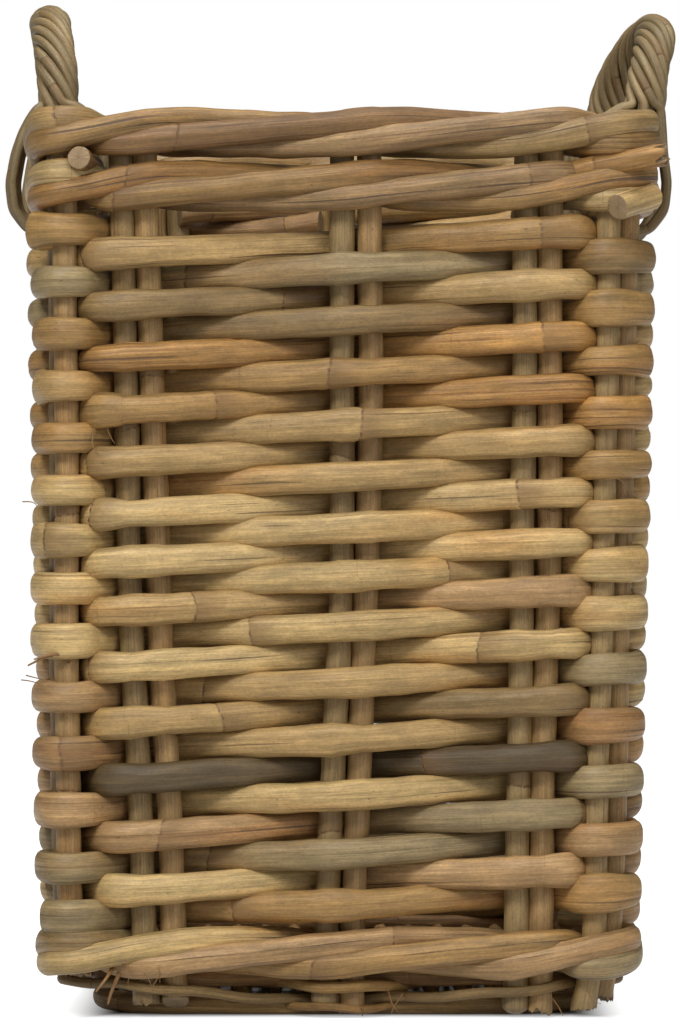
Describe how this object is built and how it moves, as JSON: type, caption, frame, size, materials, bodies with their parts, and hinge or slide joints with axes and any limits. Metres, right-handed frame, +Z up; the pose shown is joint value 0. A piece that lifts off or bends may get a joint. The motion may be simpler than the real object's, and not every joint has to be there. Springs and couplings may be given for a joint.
{
  "type": "square rattan basket",
  "caption": "Tall square rattan basket with paired upright stakes, thick woven canes, waled rim and base, a foot hoop and two roped bow handles.",
  "frame": {"origin": "on the floor under the middle of the basket", "axes": "+Z up, +X to the right and +Y away from someone who faces the front wall"},
  "size_m": [0.4516, 0.4256, 0.6873],
  "materials": {
    "stakes": "peeled rattan, satin, honey-tan with fine lengthwise grain",
    "weaving_canes": "peeled rattan, satin, straw to honey with grey and olive streaks, nodes and cracks",
    "wale_rods": "peeled rattan, satin, pinkish tan with darker grain",
    "foot_and_base": "peeled rattan, dry, tan to grey-brown",
    "handle_cane": "whole thin rattan, dull grey-olive"
  },
  "bodies": {
    "root": {"back_left_corner_stake_1": "stakes", "back_left_corner_stake_2": "stakes", "back_left_stake_1": "stakes", "back_left_stake_2": "stakes", "back_middle_stake_1": "stakes", "back_middle_stake_2": "stakes", "back_right_corner_stake_1": "stakes", "back_right_corner_stake_2": "stakes", "back_right_stake_1": "stakes", "back_right_stake_2": "stakes", "base_stick_1": "foot_and_base", "base_stick_2": "foot_and_base", "base_stick_3": "foot_and_base", "base_stick_4": "foot_and_base", "base_wale_rod_1": "wale_rods", "base_wale_rod_2": "wale_rods", "base_wale_rod_3": "wale_rods", "base_weaver": "foot_and_base", "foot_hoop": "foot_and_base", "foot_twining_cane": "foot_and_base", "front_left_corner_stake_1": "stakes", "front_left_corner_stake_2": "stakes", "front_left_stake_1": "stakes", "front_left_stake_2": "stakes", "front_middle_stake_1": "stakes", "front_middle_stake_2": "stakes", "front_right_corner_stake_1": "stakes", "front_right_corner_stake_2": "stakes", "front_right_stake_1": "stakes", "front_right_stake_2": "stakes", "left_handle_core": "handle_cane", "left_handle_winding": "handle_cane", "left_left_stake_1": "stakes", "left_left_stake_2": "stakes", "left_middle_stake_1": "stakes", "left_middle_stake_2": "stakes", "left_right_stake_1": "stakes", "left_right_stake_2": "stakes", "lower_rim_wale_rod_1": "wale_rods", "lower_rim_wale_rod_2": "wale_rods", "lower_rim_wale_rod_3": "wale_rods", "randing_cane_1_lower": "weaving_canes", "randing_cane_1_upper": "weaving_canes", "randing_cane_2_lower": "weaving_canes", "randing_cane_2_upper": "weaving_canes", "randing_cane_3_lower": "weaving_canes", "randing_cane_3_upper": "weaving_canes", "randing_cane_4_lower": "weaving_canes", "randing_cane_4_upper": "weaving_canes", "right_handle_core": "handle_cane", "right_handle_winding": "handle_cane", "right_left_stake_1": "stakes", "right_left_stake_2": "stakes", "right_middle_stake_1": "stakes", "right_middle_stake_2": "stakes", "right_right_stake_1": "stakes", "right_right_stake_2": "stakes", "upper_rim_wale_rod_1": "wale_rods", "upper_rim_wale_rod_2": "wale_rods", "upper_rim_wale_rod_3": "wale_rods"}
  },
  "joints": []
}
